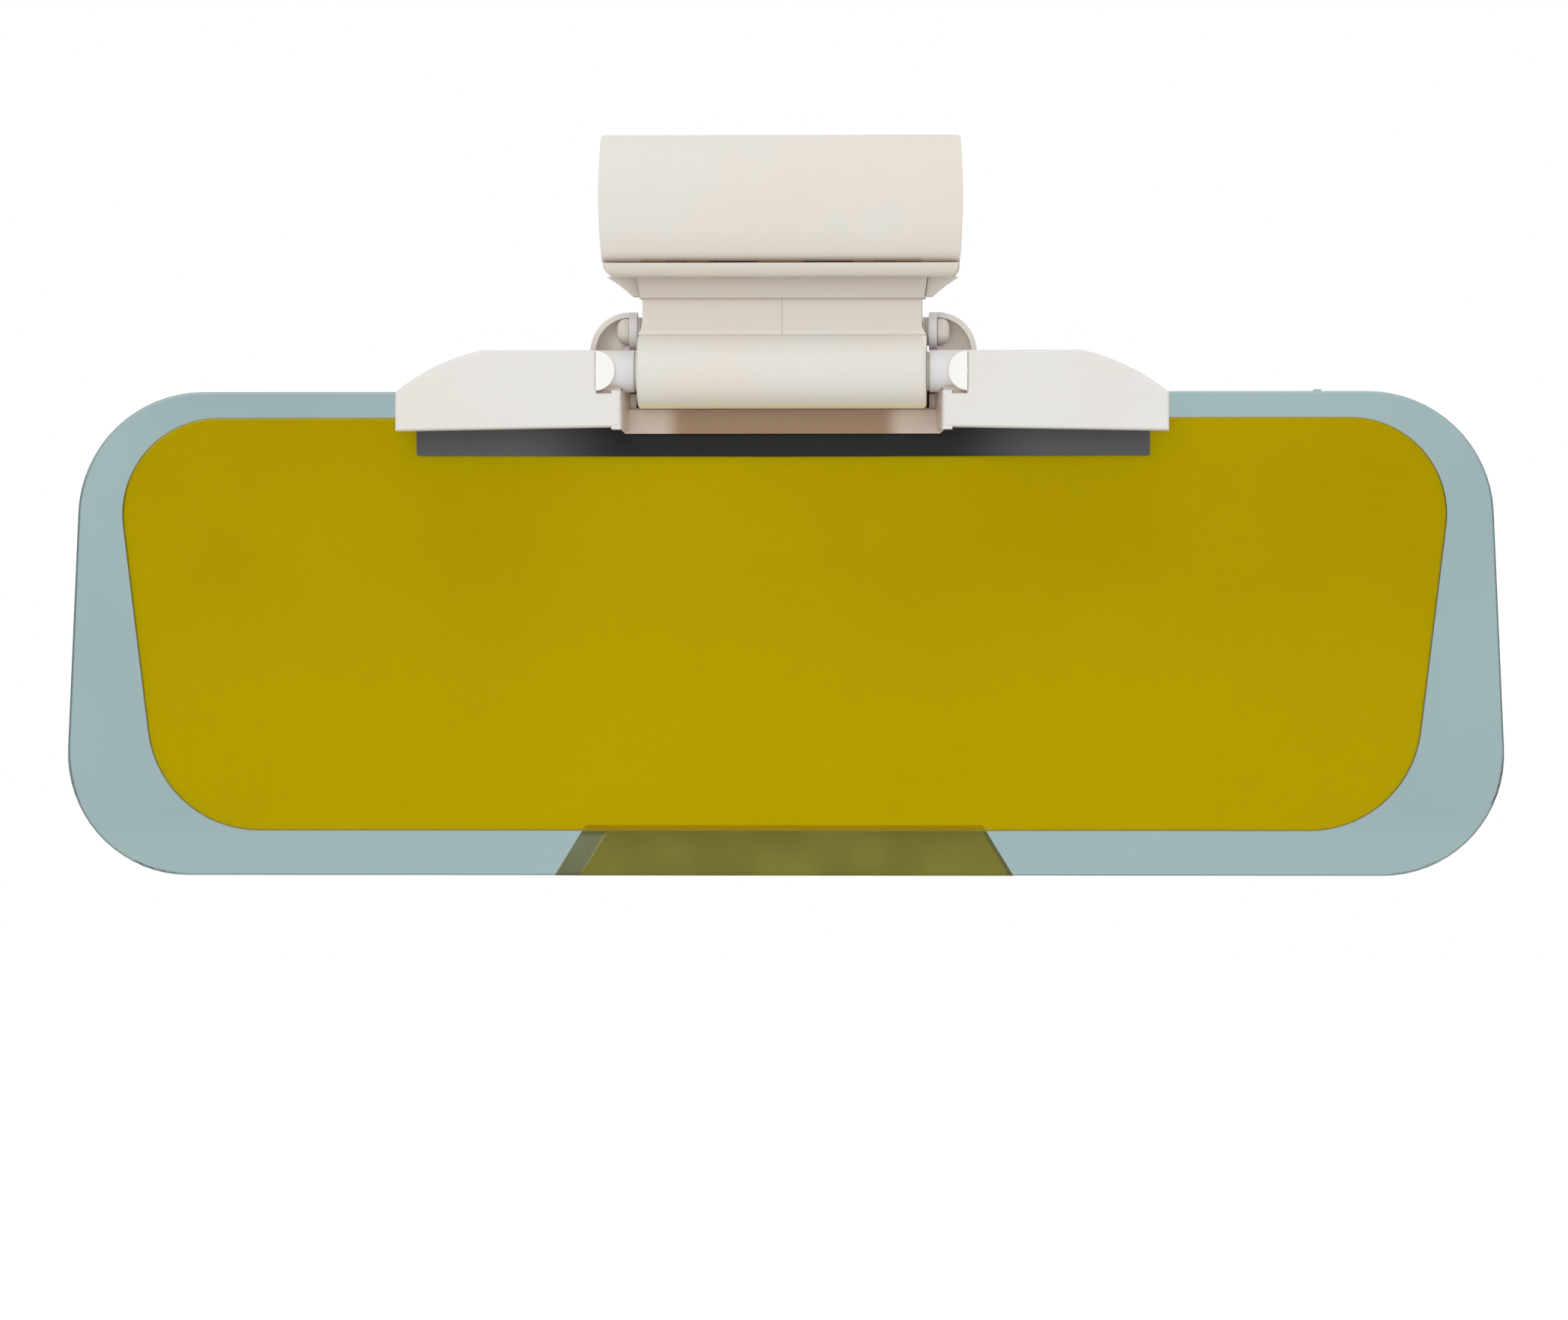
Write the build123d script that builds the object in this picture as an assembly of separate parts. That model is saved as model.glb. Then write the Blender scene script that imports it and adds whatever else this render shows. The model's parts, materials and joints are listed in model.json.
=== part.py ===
from build123d import *
from math import cos, radians, sin, sqrt
import os

# Clip-on car sun visor with a yellow night lens and a grey day lens.
# Millimetres. +X runs along the lenses, -Y faces the driver, +Z is up.
# Everything is drawn about the night lens's pivot line (Y = 0, Z = 0) and is moved
# by save(), so that the origin is the middle of the rear jaw pad's face.

os.makedirs("parts", exist_ok=True)

# ---- driving dimensions ----
LENS_THICK = 1.8
DAY_TOP_HALF, DAY_BOTTOM_HALF = 156.6, 161.3      # half widths of the grey lens, corners unrounded
DAY_TOP_Z, DAY_BOTTOM_Z = -4.15, -111.95
NIGHT_TOP_HALF, NIGHT_BOTTOM_HALF = 150.0, 138.8  # the yellow lens narrows downwards
NIGHT_TOP_Z, NIGHT_BOTTOM_Z = -10.05, -101.9
DAY_TOP_R, DAY_BOTTOM_R = 28.0, 27.0              # corner radii
NIGHT_TOP_R, NIGHT_BOTTOM_R = 21.5, 25.0
RIM_R = 0.5                                       # the polished rounding of each lens's rim

BARREL_R, BARREL_HALF = 8.3, 32.0                 # the round housing on the night pivot
NECK_HALF, NECK_FRONT_Y, NECK_REAR_Y = 30.9, -2.2, 7.0
NIGHT_SHAFT_R, DAY_SHAFT_R, DAY_HUB_R = 2.5, 2.0, 3.2
RUNNING = 0.05                                    # radial clearance of a turning fit
DAY_Y, DAY_Z = 7.4, 9.05                          # the day lens's pivot line

FLOOR_Z, FLANGE_BOTTOM_Z = 23.55, 20.7            # bottom of the clip's mouth
JAW_TOP_Z, JAW_HALF = 51.75, 40.1
REAR_PLATE_THICK, PAD_THICK, FRONT_PAD_THICK = 3.2, 2.0, 1.6
MOUTH_GAP = 5.0                                   # between the two pads, jaw shut
PIN_Y, PIN_Z, PIN_R = -8.6, 27.25, 1.2            # the jaw's hinge pin
PAD_HALF, PAD_LOW_Z, PAD_HIGH_Z = 34.0, 27.5, 49.5
FRONT_PAD_LOW_Z, FRONT_PAD_HIGH_Z = 32.4, 50.0

WING_HALF, WING_TOP_Z, WING_BOTTOM_Z = 85.6, 4.55, -13.25
WING_FRONT_Y, WING_REAR_Y, WALL = -4.8, 4.2, 2.0
RECESS_HALF = 35.7                                # gap between the wings, for the barrel
NIGHT_LENS_Y, DAY_LENS_Y = 4.4, 11.2              # front faces of the lenses
BAR_HALF = 81.4

ORIGIN_Z = (PAD_LOW_Z + PAD_HIGH_Z) / 2


# ---- helpers ----
def block(x, y, z):
    """A box from three (low, high) pairs."""
    size = Box(x[1] - x[0], y[1] - y[0], z[1] - z[0])
    return Pos((x[0] + x[1]) / 2, (y[0] + y[1]) / 2, (z[0] + z[1]) / 2) * size


def rod(radius, x0, x1, y=0.0, z=0.0):
    """A cylinder along X."""
    return Pos((x0 + x1) / 2, y, z) * Rot(0, 90, 0) * Cylinder(radius, x1 - x0)


def peg(radius, y0, y1, x, z):
    """A cylinder along Y."""
    return Pos(x, (y0 + y1) / 2, z) * Rot(90, 0, 0) * Cylinder(radius, y1 - y0)


def front_slab(face, y0, y1):
    """An outline in (X, Z) made solid from Y = y0 to y1."""
    return extrude(Plane.XZ.offset(-y1) * face, y1 - y0)


def side_slab(face, x0, x1):
    """An outline in (Y, Z) made solid from X = x0 to x1."""
    return extrude(Plane.YZ.offset(x0) * face, x1 - x0)


def outline(*edges):
    return make_face(Wire(list(edges)))


def flipped(shape):
    return mirror(shape, about=Plane.YZ)


def both_sides(shape):
    return shape + flipped(shape)


def save(node, *solids):
    moved = [Pos(0, 0, -ORIGIN_Z) * s for solid in solids for s in solid.solids()]
    shape = moved[0] if len(moved) == 1 else Compound(children=moved)
    export_step(shape, f"parts/{node}.step")


# ---- lenses ----
def lens_outline(top_half, bottom_half, top_z, bottom_z, top_r, bottom_r):
    face = make_face(Polyline(
        (-top_half, top_z), (top_half, top_z),
        (bottom_half, bottom_z), (-bottom_half, bottom_z), close=True,
    ))
    corners = face.vertices().sort_by(Axis.Y)
    face = fillet(corners[2:], top_r)
    return fillet(face.vertices().sort_by(Axis.Y)[:2], bottom_r)


def soften(solid, radius, axis=Axis.Y):
    """Round the rims of a plate at both ends of an axis."""
    rims = solid.faces().sort_by(axis)
    return fillet(rims[0].edges() + rims[-1].edges(), radius)


DAY_SCREW_X, DAY_SCREW_Z = (-60.0, -20.0, 20.0, 60.0), -11.0
DAY_SCREW_HOLE_R = 1.6
night_lens = front_slab(
    lens_outline(
        NIGHT_TOP_HALF, NIGHT_BOTTOM_HALF, NIGHT_TOP_Z, NIGHT_BOTTOM_Z, NIGHT_TOP_R, NIGHT_BOTTOM_R,
    ),
    NIGHT_LENS_Y, NIGHT_LENS_Y + LENS_THICK,
)
save("night_lens", soften(night_lens, RIM_R))

day_lens = front_slab(
    lens_outline(DAY_TOP_HALF, DAY_BOTTOM_HALF, DAY_TOP_Z, DAY_BOTTOM_Z, DAY_TOP_R, DAY_BOTTOM_R),
    DAY_LENS_Y, DAY_LENS_Y + LENS_THICK,
)
day_lens = soften(day_lens, RIM_R)
for x in DAY_SCREW_X:
    day_lens -= peg(DAY_SCREW_HOLE_R, DAY_LENS_Y - 1, DAY_LENS_Y + 3, x, DAY_SCREW_Z)
# the stub that the moulding's gate leaves on the upper edge
GATE_STUB_X, GATE_STUB_HALF, GATE_STUB_HIGH = 118.6, 0.9, 0.4
day_lens += block(
    (GATE_STUB_X - GATE_STUB_HALF, GATE_STUB_X + GATE_STUB_HALF),
    (DAY_LENS_Y + 0.6, DAY_LENS_Y + 1.2),
    (DAY_TOP_Z - 0.3, DAY_TOP_Z + GATE_STUB_HIGH),
)
save("day_lens", day_lens)

# a thin bevelled grip bonded to the front of the grey lens, flush with its lower edge
TAB_TOP_Z, TAB_TOP_HALF, TAB_BOTTOM_HALF = -100.7, 44.2, 51.1
TAB_THICK, BOND_LINE = 1.6, 0.05
WIDE_BEVEL, NARROW_BEVEL, BEVEL_DEEP = 5.0, 0.8, 1.0
tab_face = make_face(Polyline(
    (-TAB_TOP_HALF, TAB_TOP_Z), (TAB_TOP_HALF, TAB_TOP_Z),
    (TAB_BOTTOM_HALF, DAY_BOTTOM_Z), (-TAB_BOTTOM_HALF, DAY_BOTTOM_Z), close=True,
))
tab = front_slab(tab_face, DAY_LENS_Y - TAB_THICK, DAY_LENS_Y - BOND_LINE)
front_edges = tab.faces().sort_by(Axis.Y)[0].edges()
slanted = front_edges.filter_by(Axis.X, reverse=True).sort_by(Axis.X)
tab = chamfer(slanted[0], BEVEL_DEEP, WIDE_BEVEL)
front_edges = tab.faces().sort_by(Axis.Y)[0].edges()
tab = chamfer(front_edges.filter_by(Axis.X, reverse=True).sort_by(Axis.X)[-1], NARROW_BEVEL)
save("day_lens_finger_tab", tab)


# ---- clip: rear jaw, its pad and the hinge ears ----
EAR_X, SPRING_X = (20.8, 25.2), (5.0, 16.0)       # places of the hinge ears and springs along the pin
REAR_Y = PAD_THICK + REAR_PLATE_THICK
LIP_Y, LIP_HALF = -12.0, 39.2

jaw_section = outline(
    Line((REAR_Y, FLANGE_BOTTOM_Z), (REAR_Y, JAW_TOP_Z - 0.3)),
    Line((REAR_Y, JAW_TOP_Z - 0.3), (PAD_THICK, JAW_TOP_Z - 0.3)),
    Line((PAD_THICK, JAW_TOP_Z - 0.3), (PAD_THICK, FLOOR_Z)),
    Line((PAD_THICK, FLOOR_Z), (LIP_Y + 0.2, FLOOR_Z)),
    ThreePointArc((LIP_Y + 0.2, FLOOR_Z), (LIP_Y + 0.75, 21.7), (LIP_Y + 2.8, FLANGE_BOTTOM_Z)),
    Line((LIP_Y + 2.8, FLANGE_BOTTOM_Z), (REAR_Y, FLANGE_BOTTOM_Z)),
)
jaw_front = make_face(Polyline(
    (-LIP_HALF, FLANGE_BOTTOM_Z), (LIP_HALF, FLANGE_BOTTOM_Z),
    (LIP_HALF, JAW_TOP_Z), (-LIP_HALF, JAW_TOP_Z), close=True,
))
jaw_front = fillet(jaw_front.vertices().sort_by(Axis.Y)[:2], 2.6)
jaw_front = fillet(jaw_front.vertices().sort_by(Axis.Y)[-2:], 4.0)
rear_jaw = side_slab(jaw_section, -LIP_HALF, LIP_HALF) & front_slab(jaw_front, LIP_Y - 1, REAR_Y + 1)

# shallow panel in the back of the rear plate
panel = front_slab(Pos(0, ORIGIN_Z) * RectangleRounded(66, 20, 4), REAR_Y - 0.8, REAR_Y + 1)
rear_jaw -= panel
for x in (-22, 0, 22):
    rear_jaw += block((x - 0.8, x + 0.8), (REAR_Y - 1, REAR_Y), (ORIGIN_Z - 10.5, ORIGIN_Z + 10.5))

# gussets under the flange's ends, close beside the sloping neck collar
GUSSET_LOW_Z, GUSSET_TOP_Z = 16.6, FLANGE_BOTTOM_Z + 0.2
gusset = outline(
    Line((31.8, GUSSET_LOW_Z), (33.2, GUSSET_LOW_Z)),
    ThreePointArc((33.2, GUSSET_LOW_Z), (35.9, 18.9), (38.9, GUSSET_TOP_Z)),
    Line((38.9, GUSSET_TOP_Z), (32.35, GUSSET_TOP_Z)),
    Line((32.35, GUSSET_TOP_Z), (31.8, GUSSET_LOW_Z)),
)
rear_jaw += both_sides(front_slab(gusset, -1.0, REAR_Y))

ear = rod(2.3, EAR_X[0] + 0.3, EAR_X[1] - 0.3, PIN_Y, PIN_Z)
ear += block((EAR_X[0] + 0.3, EAR_X[1] - 0.3), (PIN_Y + 1.2, PIN_Y + 3.4), (FLOOR_Z - 0.3, PIN_Z))
rear_jaw += both_sides(ear)
rear_jaw -= rod(PIN_R + 0.02, -30, 30, PIN_Y, PIN_Z)

NECK_SCREW_X = (-24.0, -8.0, 8.0, 24.0)
SCREW_HEAD_R, SCREW_R = 1.9, 1.0
for x in NECK_SCREW_X:
    rear_jaw -= Pos(x, 0, FLOOR_Z) * Cylinder(SCREW_HEAD_R + 0.04, 2 * 1.5)
    rear_jaw -= Pos(x, 0, FLOOR_Z - 2) * Cylinder(SCREW_R + 0.05, 8)
save("rear_jaw", rear_jaw)


GROOVE_PITCH, GROOVE_WIDE, GROOVE_DEEP = 3.0, 1.2, 0.8


def ribbed_pad(y_back, y_face, z_low, z_high, grooves_each_way):
    """A rubber pad with blind grooves: its face stays one flat surface."""
    centre = Pos(0, (z_low + z_high) / 2)
    slab = centre * RectangleRounded(2 * PAD_HALF, z_high - z_low, 2.5)
    pad = front_slab(slab, min(y_back, y_face), max(y_back, y_face))
    groove = centre * RectangleRounded(2 * PAD_HALF - 6, GROOVE_WIDE, 0.55)
    inwards = 1 if y_back > y_face else -1
    ends = sorted((y_face - inwards, y_face + inwards * GROOVE_DEEP))
    for step in range(1, grooves_each_way + 1):
        for side in (-1, 1):
            pad -= Pos(0, 0, side * step * GROOVE_PITCH) * front_slab(groove, *ends)
    return pad


save("rear_jaw_pad", ribbed_pad(PAD_THICK, 0.0, PAD_LOW_Z, PAD_HIGH_Z, 3))

pin = rod(PIN_R, -35.6, 35.6, PIN_Y, PIN_Z)
save("jaw_hinge_pin", chamfer(pin.edges().filter_by(GeomType.CIRCLE), 0.25))


# ---- clip: front jaw ----
# the outer surface is a big arc that runs on smoothly into a small one about the hinge pin
HOOK_R, FRONT_R, TANGENT = 3.5, 34.0, radians(18)
touch = (PIN_Y - HOOK_R * cos(TANGENT), PIN_Z - HOOK_R * sin(TANGENT))
arc_y, arc_z = touch[0] + FRONT_R * cos(TANGENT), touch[1] + FRONT_R * sin(TANGENT)
PLATE_Y = -(MOUTH_GAP + FRONT_PAD_THICK)          # mouth side of the inner plate
PLATE_THICK, JAW_HEAD_SINK = 1.4, 0.8
COVER_BACK_Y = PLATE_Y - PLATE_THICK


def on_arc(radius, z):
    """Y of the big arc's surface at a height."""
    return arc_y - sqrt(radius**2 - (z - arc_z)**2)


def jaw_bulge(radius, z_low, z_high):
    """The section between the big arc and the plane of the cover's open back."""
    return outline(
        Line((COVER_BACK_Y, z_low), (COVER_BACK_Y, z_high)),
        Line((COVER_BACK_Y, z_high), (on_arc(radius, z_high), z_high)),
        ThreePointArc((on_arc(radius, z_high), z_high), (arc_y - radius, arc_z),
                      (on_arc(radius, z_low), z_low)),
        Line((on_arc(radius, z_low), z_low), (COVER_BACK_Y, z_low)),
    )


SIDE_LOW, SIDE_TOP = 39.35, 39.6                  # the jaw's ends bulge a little between these
cover_front = outline(
    Line((-SIDE_LOW, 23.0), (SIDE_LOW, 23.0)),
    ThreePointArc((SIDE_LOW, 23.0), (JAW_HALF, arc_z), (SIDE_TOP, JAW_TOP_Z)),
    Line((SIDE_TOP, JAW_TOP_Z), (-SIDE_TOP, JAW_TOP_Z)),
    ThreePointArc((-SIDE_TOP, JAW_TOP_Z), (-JAW_HALF, arc_z), (-SIDE_LOW, 23.0)),
)
cover = side_slab(jaw_bulge(FRONT_R, touch[1], JAW_TOP_Z), -41, 41)
cover += rod(HOOK_R, -41, 41, PIN_Y, PIN_Z)
cover &= front_slab(cover_front, -20, 0)
top_edges = cover.edges().group_by(Axis.Z)[-1]
cover = fillet(top_edges.filter_by(lambda edge: edge.center().Y < COVER_BACK_Y - 0.5), 0.8)

POCKETS = ((-34.6, -18.2), (-16.6, -0.8), (0.8, 16.6), (18.2, 34.6))
for x0, x1 in POCKETS:
    cover -= side_slab(jaw_bulge(FRONT_R - 2.0, 31.2, 49.9), x0, x1)
cover -= rod(PIN_R + RUNNING, -36, 36, PIN_Y, PIN_Z)
for x0, x1 in (EAR_X, SPRING_X):
    room = rod(2.55, x0, x1, PIN_Y, PIN_Z)
    room += block((x0, x1), (PIN_Y - 1.3, 0), (20, PIN_Z))
    room += block((x0, x1), (PIN_Y, 0), (PIN_Z, PIN_Z + 2.6))
    cover -= both_sides(room)
cover -= both_sides(block(SPRING_X, (-11.0, COVER_BACK_Y + 1), (PIN_Z, 32.0)))
JAW_SCREWS = [(x, z) for x in (-36.7, 36.7) for z in (34.5, 48.0)]
for x, z in JAW_SCREWS:
    cover -= peg(0.8, COVER_BACK_Y - 1.4, COVER_BACK_Y + 1, x, z)
save("front_jaw_cover", cover)

plate = front_slab(
    Pos(0, (31.6 + JAW_TOP_Z) / 2 - 0.1) * RectangleRounded(2 * 39.0, JAW_TOP_Z - 31.8, 2.0),
    COVER_BACK_Y, PLATE_Y,
)
for x, z in JAW_SCREWS:
    plate -= peg(0.82, COVER_BACK_Y - 1, PLATE_Y + 1, x, z)
    plate -= peg(1.55, PLATE_Y - JAW_HEAD_SINK, PLATE_Y + 1, x, z)
save("front_jaw_plate", plate)
save("front_jaw_pad", ribbed_pad(PLATE_Y, -MOUTH_GAP, FRONT_PAD_LOW_Z, FRONT_PAD_HIGH_Z, 2))


def screw(head_r, head_h, shank_r, length, cross=0.35):
    """A cross-head screw: head on top of Z = 0, shank below."""
    body = Pos(0, 0, head_h / 2) * Cylinder(head_r, head_h)
    body = fillet(body.edges().sort_by(Axis.Z)[-1], head_h * 0.35)
    body += Pos(0, 0, -length / 2) * Cylinder(shank_r, length)
    slot = Box(head_r * 1.2, head_r * cross, head_h)
    return body - Pos(0, 0, head_h) * slot - Pos(0, 0, head_h) * Rot(0, 0, 90) * slot


jaw_screw = screw(1.5, 0.75, 0.78, 1.7)
save("front_jaw_screws", *[
    Pos(x, PLATE_Y - JAW_HEAD_SINK, z) * Rot(-90, 0, 0) * jaw_screw for x, z in JAW_SCREWS
])
neck_screw = screw(SCREW_HEAD_R, 1.4, SCREW_R, 7.0)
save("neck_screws", *[Pos(x, 0, FLOOR_Z - 1.5) * neck_screw for x in NECK_SCREW_X])

# torsion springs about the hinge pin, one each side
COIL_R, WIRE_R, PITCH, TURNS = 1.85, 0.38, 1.25, 6.25
coil_path = Helix(PITCH, PITCH * TURNS, COIL_R)
coil = sweep(Plane(coil_path @ 0, z_dir=coil_path % 0) * Circle(WIRE_R), path=coil_path)
coil = Rot(-90, 0, 0) * Rot(0, 90, 0) * coil      # starts in front of the pin and ends under it


def leg(x, start, end):
    """A straight end of the wire between two (Y, Z) points: a bead at the coil, a round tip at the end."""
    p, q = Vector(x, *start), Vector(x, *end)
    wire = Plane(origin=(p + q) / 2, z_dir=q - p) * Cylinder(WIRE_R, (q - p).length)
    return wire + Pos(p) * Sphere(1.05 * WIRE_R) + Pos(q) * Sphere(WIRE_R)


up_leg = leg(0.0, (-COIL_R, 0.0), (0.15, 7.8))
floor_leg = leg(PITCH * TURNS, (0.0, -COIL_R), (5.0, -3.2))
spring = Pos(SPRING_X[0] + 1.6, PIN_Y, PIN_Z) * (coil + up_leg + floor_leg)
save("jaw_spring_right", spring)
save("jaw_spring_left", flipped(spring))


# ---- neck and barrel ----
SEAM = 0.03                                       # half the gap between the neck's two shells
neck_front = outline(
    Line((SEAM, 3.0), (31.9, 3.0)),
    Line((31.9, 3.0), (31.9, 8.2)),
    ThreePointArc((31.9, 8.2), (31.2, 9.4), (NECK_HALF, 11.2)),
    Line((NECK_HALF, 11.2), (NECK_HALF, FLANGE_BOTTOM_Z)),
    Line((NECK_HALF, FLANGE_BOTTOM_Z), (SEAM, FLANGE_BOTTOM_Z)),
    Line((SEAM, FLANGE_BOTTOM_Z), (SEAM, 3.0)),
)
HOUSING_R, EAR_FLAT = 4.7, 31.0
neck_section = make_face(Polyline(
    (NECK_FRONT_Y, 3.0), (NECK_REAR_Y, 3.0), (NECK_REAR_Y, FLANGE_BOTTOM_Z),
    (NECK_FRONT_Y, FLANGE_BOTTOM_Z), close=True,
)) + Pos(DAY_Y, DAY_Z) * Circle(HOUSING_R)
neck_half = side_slab(neck_section, 0, 33) & front_slab(neck_front, -20, 20)
neck_half -= rod(BARREL_R + 0.03, -1, 40)
neck_half -= block((EAR_FLAT, 40), (1.5, 20), (0, 15))
neck_half = neck_half.solids().sort_by(SortBy.VOLUME)[-1]
neck_half -= rod(DAY_SHAFT_R + 0.02, -1, 40, DAY_Y, DAY_Z)
neck_half -= block((-1, 28.1), (0.1, 2.7), (0, 13.5))
for x in NECK_SCREW_X[2:]:
    neck_half -= Pos(x, 0, FLANGE_BOTTOM_Z) * Cylinder(SCREW_R + 0.02, 2 * 6.0)
save("neck_right_half", neck_half)
save("neck_left_half", flipped(neck_half))

COLLAR_FRONT_Y, COLLAR_REAR_Y, COLLAR_LOW_Z = -4.0, 8.4, 16.15
collar = loft([
    Pos(0, (COLLAR_FRONT_Y + COLLAR_REAR_Y) / 2, COLLAR_LOW_Z) * RectangleRounded(63.2, 11.8, 0.8),
    Pos(0, (COLLAR_FRONT_Y + COLLAR_REAR_Y) / 2, FLANGE_BOTTOM_Z) * RectangleRounded(64.4, 12.4, 0.8),
])
collar -= block((-NECK_HALF - 0.04, NECK_HALF + 0.04), (NECK_FRONT_Y - 0.04, NECK_REAR_Y + 0.04), (0, 40))
save("neck_collar", collar)

CORE_R, CAP = 6.5, 1.3
barrel = rod(BARREL_R, -BARREL_HALF, BARREL_HALF)
barrel = fillet(barrel.edges().filter_by(GeomType.CIRCLE), 0.9)
inside = rod(CORE_R + 0.04, -BARREL_HALF + CAP, BARREL_HALF - CAP)
bore = rod(NIGHT_SHAFT_R + 0.02, -40, 40)
save("barrel_cover", (barrel & block((-40, 40), (-10, 0), (-10, 10))) - inside - bore)
core = barrel & block((-40, 40), (0.03, 10), (-10, 10))
core += rod(CORE_R, -BARREL_HALF + CAP + 0.05, BARREL_HALF - CAP - 0.05)
core += block((-28, 28), (0.2, 2.6), (5, 13.4))
save("barrel_core", core - bore)

NIGHT_SHAFT_HALF, DAY_SHAFT_HALF = 38.4, 35.9
night_shaft = rod(NIGHT_SHAFT_R, -NIGHT_SHAFT_HALF, NIGHT_SHAFT_HALF)
save("night_pivot_shaft", chamfer(night_shaft.edges().filter_by(GeomType.CIRCLE), 0.4))
day_shaft = rod(DAY_SHAFT_R, -DAY_SHAFT_HALF, DAY_SHAFT_HALF, DAY_Y, DAY_Z)
day_shaft = chamfer(day_shaft.edges().filter_by(GeomType.CIRCLE), 0.3)
save("day_pivot_shaft", day_shaft)


def ring(inner, outer, x0, x1, y=0.0, z=0.0):
    return rod(outer, x0, x1, y, z) - rod(inner, x0 - 1, x1 + 1, y, z)


BOSS_R = 4.7


night_washer = ring(NIGHT_SHAFT_R + RUNNING, BOSS_R - 0.4, 32.1, 32.6)
save("night_friction_washers", night_washer, flipped(night_washer))
day_washer = ring(DAY_SHAFT_R + RUNNING, DAY_HUB_R, 31.1, 31.6, DAY_Y, DAY_Z)
save("day_friction_washers", day_washer, flipped(day_washer))


# ---- night lens holder ----
BOSS_START, BOSS_END = 32.7, 40.9
NOSE_PROUD = 0.5                                  # how far the tongue stands out from the wing
CHEEK_LOW_Z, CHEEK_TOP_Z = -12.9, -4.3            # the recess's side walls, up to the boss
SILL_FRONT_Y, SILL_LOW_Z, SILL_TOP_Z = 2.0, -13.75, -8.45
wing_face = outline(
    Line((RECESS_HALF, -12.35), (RECESS_HALF, -4.9)),
    Line((RECESS_HALF, -4.9), (BOSS_END, -4.9)),
    Line((BOSS_END, -4.9), (BOSS_END, WING_TOP_Z)),
    Line((BOSS_END, WING_TOP_Z), (66.5, WING_TOP_Z)),
    ThreePointArc((66.5, WING_TOP_Z), (77.6, 0.5), (WING_HALF, -4.75)),
    Line((WING_HALF, -4.75), (WING_HALF, WING_BOTTOM_Z)),
    Line((WING_HALF, WING_BOTTOM_Z), (RECESS_HALF, -12.35)),
)
wing = front_slab(wing_face, WING_FRONT_Y, WING_REAR_Y)
wing = fillet(wing.faces().sort_by(Axis.Y)[0].edges(), 0.7)
hollow = offset(wing_face, -WALL, kind=Kind.INTERSECTION)
wing -= front_slab(hollow, WING_FRONT_Y + WALL, WING_REAR_Y + 1)
# the lower wall stops short of the dark strip, which stands in front of the lens
GASKET_Y, GASKET_TOP_Z, GASKET_BOTTOM_Z = NIGHT_LENS_Y - 1.2, -10.9, -18.65
wing -= block((30, 90), (GASKET_Y - 0.1, WING_REAR_Y + 1), (-20, GASKET_TOP_Z + 0.2))
NIGHT_SCREW_X, NIGHT_SCREW_Z = (46.0, 62.0, 78.0), -9.0
NIGHT_POST_R = 1.85
for x, rib_top in ((54.0, WING_TOP_Z - 0.6), (70.0, 1.2)):
    wing += block((x - 0.6, x + 0.6), (WING_FRONT_Y + 1, 2.6), (-12, rib_top))
for x in NIGHT_SCREW_X:
    wing += peg(NIGHT_POST_R, WING_FRONT_Y + 1, WING_REAR_Y, x, NIGHT_SCREW_Z)

# the wing's inner end: a round boss on the pivot, and a D-shaped tongue in front of it
wing += rod(BOSS_R, BOSS_START, BOSS_END + 1)
nose = outline(
    Line((BOSS_END + 0.2, -4.4), (BOSS_END + 0.2, 4.4)),
    ThreePointArc((BOSS_END + 0.2, 4.4), (36.9, 0.0), (BOSS_END + 0.2, -4.4)),
)
wing += front_slab(nose, WING_FRONT_Y - NOSE_PROUD, 0)
wing += block((RECESS_HALF, BOSS_END + 2), (-3.0, 2.6), (-6.5, -3.5))
flare = Plane.XY * make_face(Polyline(
    (RECESS_HALF, WING_FRONT_Y + 0.3), (RECESS_HALF + 2, WING_FRONT_Y + 0.3),
    (RECESS_HALF + 2, 3.1), (33.8, 3.1), close=True,
))
wing += extrude(Pos(0, 0, CHEEK_LOW_Z) * flare, CHEEK_TOP_Z - CHEEK_LOW_Z)
holder = both_sides(wing)
SILL_HALF = RECESS_HALF + 0.1
sill = make_face(Polyline(
    (-34.9, SILL_LOW_Z), (34.9, SILL_LOW_Z), (SILL_HALF, CHEEK_LOW_Z), (SILL_HALF, SILL_TOP_Z),
    (-SILL_HALF, SILL_TOP_Z), (-SILL_HALF, CHEEK_LOW_Z), close=True,
))
holder += front_slab(sill, SILL_FRONT_Y, GASKET_Y - 0.05)
# behind the barrel the sill rises, and beside the barrel's ends it reaches up to the bosses
RISER_LOW_Z, RISER_TOP_Z, RISER_END_Z, RISER_INNER = -10.6, -8.05, -4.9, 32.5
riser = make_face(Polyline(
    (-SILL_HALF, RISER_LOW_Z), (SILL_HALF, RISER_LOW_Z), (SILL_HALF, RISER_END_Z),
    (RISER_INNER, RISER_END_Z), (RISER_INNER, RISER_TOP_Z), (-RISER_INNER, RISER_TOP_Z),
    (-RISER_INNER, RISER_END_Z), (-SILL_HALF, RISER_END_Z), close=True,
))
holder += front_slab(riser, GASKET_Y - 0.1, WING_REAR_Y)

BUSH_R = 3.2
for x in NIGHT_SCREW_X:
    holder -= both_sides(peg(0.95, WING_FRONT_Y + 2.2, WING_REAR_Y + 1, x, NIGHT_SCREW_Z))
holder -= both_sides(rod(BUSH_R, BOSS_START - 1, NIGHT_SHAFT_HALF + 0.5))
# small round gate marks in the mouldings' faces
GATE_R = 6.0
gate = Pos(68.2, WING_FRONT_Y - GATE_R + 0.12, -4.2) * Sphere(GATE_R)
holder -= both_sides(gate)
save("night_holder", holder)

night_bush = ring(NIGHT_SHAFT_R + RUNNING, BUSH_R - 0.02, BOSS_START + 0.05, NIGHT_SHAFT_HALF)
save("night_pivot_bushes", night_bush, flipped(night_bush))

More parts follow.
